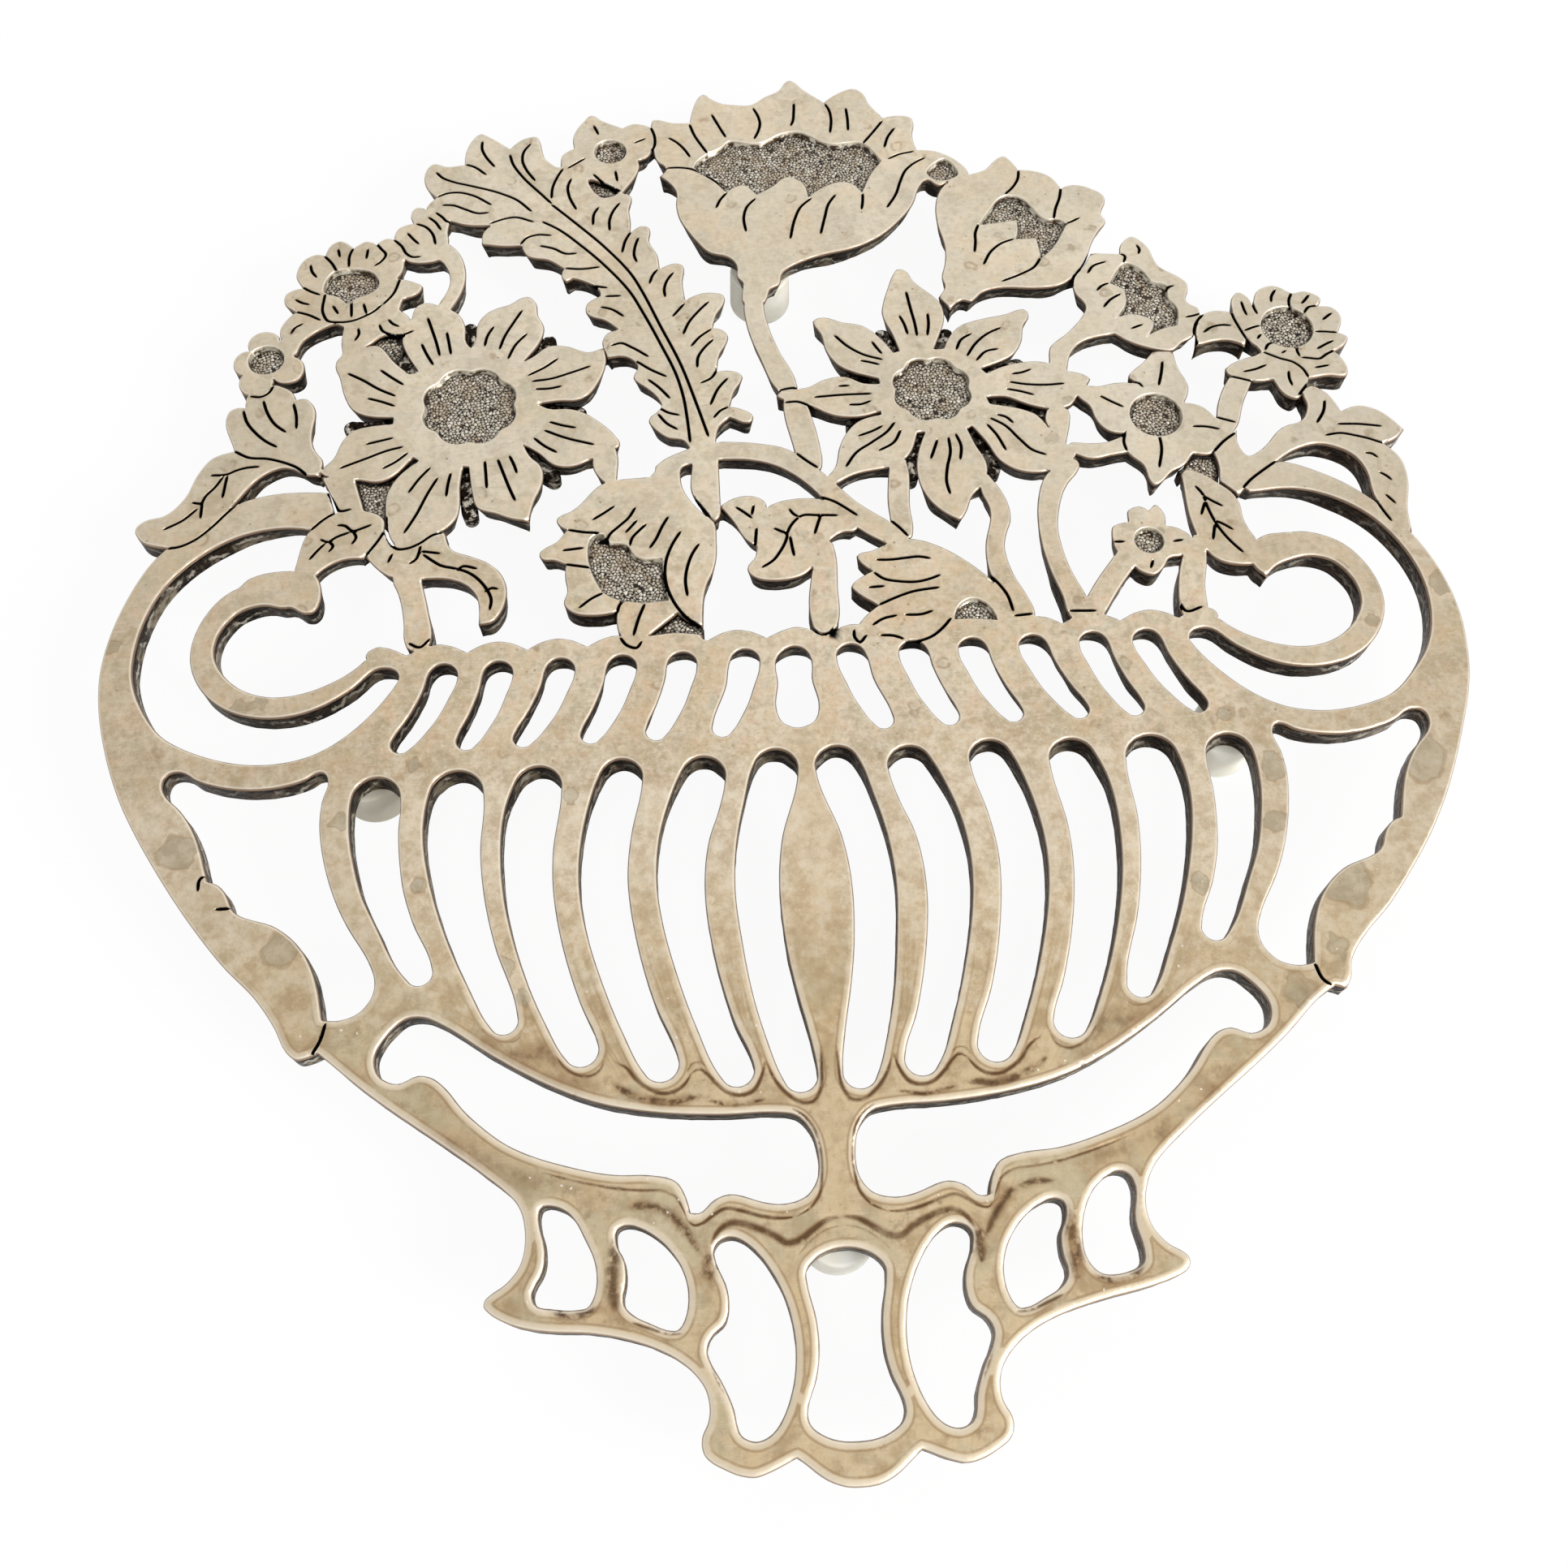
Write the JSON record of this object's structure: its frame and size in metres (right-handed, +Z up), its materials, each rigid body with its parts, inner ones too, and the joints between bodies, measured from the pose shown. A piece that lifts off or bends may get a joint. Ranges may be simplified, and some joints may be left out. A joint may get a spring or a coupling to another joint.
{
  "type": "table trivet",
  "caption": "Flat pierced metal trivet shaped as a two-handled urn of flowers, on soft push-on feet.",
  "frame": {"origin": "middle of the trivet's outline, on the surface that its feet stand on", "axes": "+Z up through the plate, +Y from the urn's foot towards its flowers, +X to the urn's right handle as seen from above"},
  "size_m": [0.204, 0.233, 0.0123],
  "materials": {
    "tarnished_silver": "worn antique silver plate, polished top and darkened recesses",
    "clear_vinyl": "cloudy soft vinyl"
  },
  "bodies": {
    "root": {"pierced_plate": "tarnished_silver", "foot_top": "clear_vinyl", "foot_left": "clear_vinyl", "foot_right": "clear_vinyl", "foot_bottom": "clear_vinyl"}
  },
  "joints": []
}
